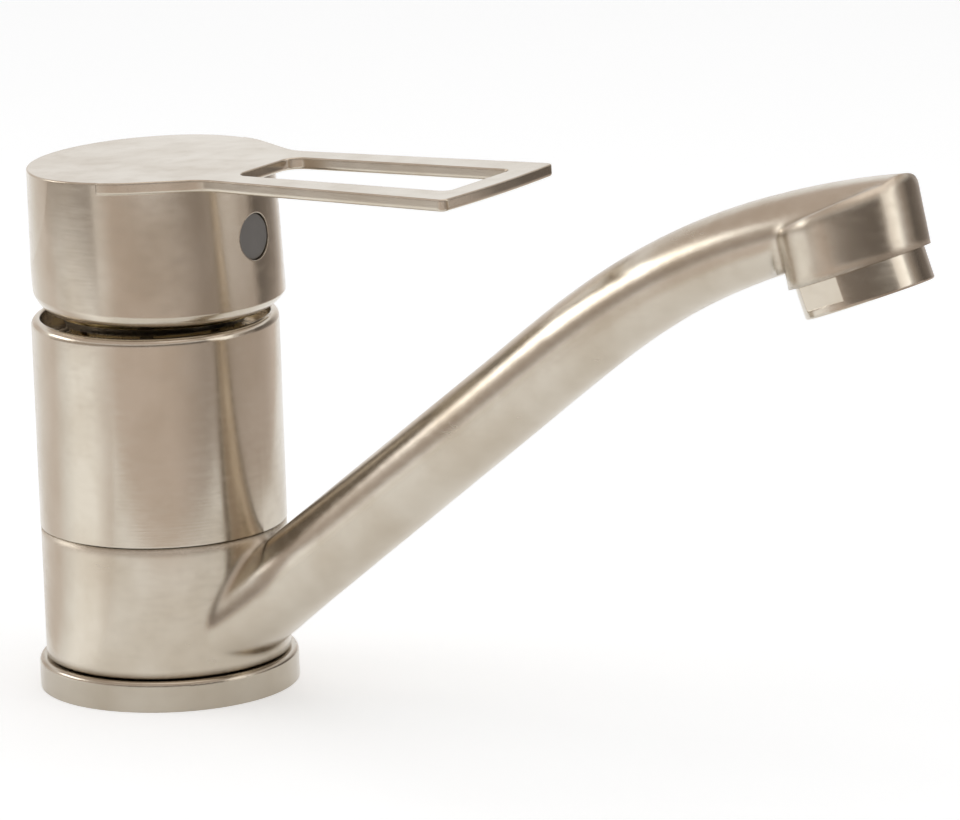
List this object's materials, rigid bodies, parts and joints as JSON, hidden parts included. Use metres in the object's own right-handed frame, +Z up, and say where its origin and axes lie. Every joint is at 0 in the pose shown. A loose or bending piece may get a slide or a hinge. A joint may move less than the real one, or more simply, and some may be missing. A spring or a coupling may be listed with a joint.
{
  "type": "sink mixer tap",
  "caption": "Deck-mounted lever mixer for a sink: a cylindrical body, a low swivelling cast spout that climbs diagonally to a cup-shaped head, and a flat loop lever on a cap.",
  "frame": {"origin": "centre of the base underside, on the deck", "axes": "+Z up out of the deck, +X the way the spout and the lever point at rest, Y across"},
  "size_m": [0.2084, 0.0528, 0.1214],
  "materials": {
    "satin_metal": "satin, warm nickel tone",
    "bright_chrome": "polished",
    "bright_steel": "plain drawn",
    "plain_brass": "turned, unplated",
    "black_rubber": "matte",
    "white_plastic": "moulded",
    "ceramic": "lapped",
    "grey_plastic": "moulded, matte"
  },
  "bodies": {
    "fixed_body": {"main_body": "satin_metal", "base_ring": "satin_metal", "base_seal": "black_rubber", "retaining_clip": "bright_steel", "lower_glide_ring": "white_plastic", "upper_glide_ring": "white_plastic", "lower_spout_seal": "black_rubber", "upper_spout_seal": "black_rubber", "cartridge_gasket": "black_rubber", "cartridge_base": "white_plastic", "fixed_disc": "ceramic", "cartridge_housing": "white_plastic", "cartridge_nut": "plain_brass", "dome_ring": "bright_chrome"},
    "spout_body": {"spout": "satin_metal", "aerator_housing": "satin_metal", "aerator_insert": "white_plastic", "aerator_screen": "bright_steel", "aerator_washer": "black_rubber"},
    "rotor_body": {"cartridge_rotor": "white_plastic", "stem_pin": "bright_steel"},
    "disc_body": {"disc_carrier": "white_plastic", "moving_disc": "ceramic"},
    "lever_body": {"lever_handle": "satin_metal", "lever_stem": "plain_brass", "grub_screw": "bright_steel", "index_plug": "grey_plastic"}
  },
  "joints": [
    {"name": "spout_swivel", "type": "hinge", "parent": "fixed_body", "child": "spout_body", "pos_m": [0, 0, 0.02], "axis": [0, 0, 1], "continuous": true},
    {"name": "lever_turn", "type": "hinge", "parent": "fixed_body", "child": "rotor_body", "pos_m": [0, 0, 0.0845], "axis": [0, 0, 1], "range_deg": [-50, 50]},
    {"name": "lever_lift", "type": "hinge", "parent": "rotor_body", "child": "lever_body", "pos_m": [0, 0, 0.0845], "axis": [0, -1, 0], "range_deg": [0, 18]},
    {"name": "disc_slide", "type": "slide", "parent": "rotor_body", "child": "disc_body", "axis": [1, 0, 0], "range_m": [0, 0.0037]}
  ],
  "couplings": [
    {"joint": "disc_slide", "follows": "lever_lift", "m_per_rad": 0.0116}
  ]
}
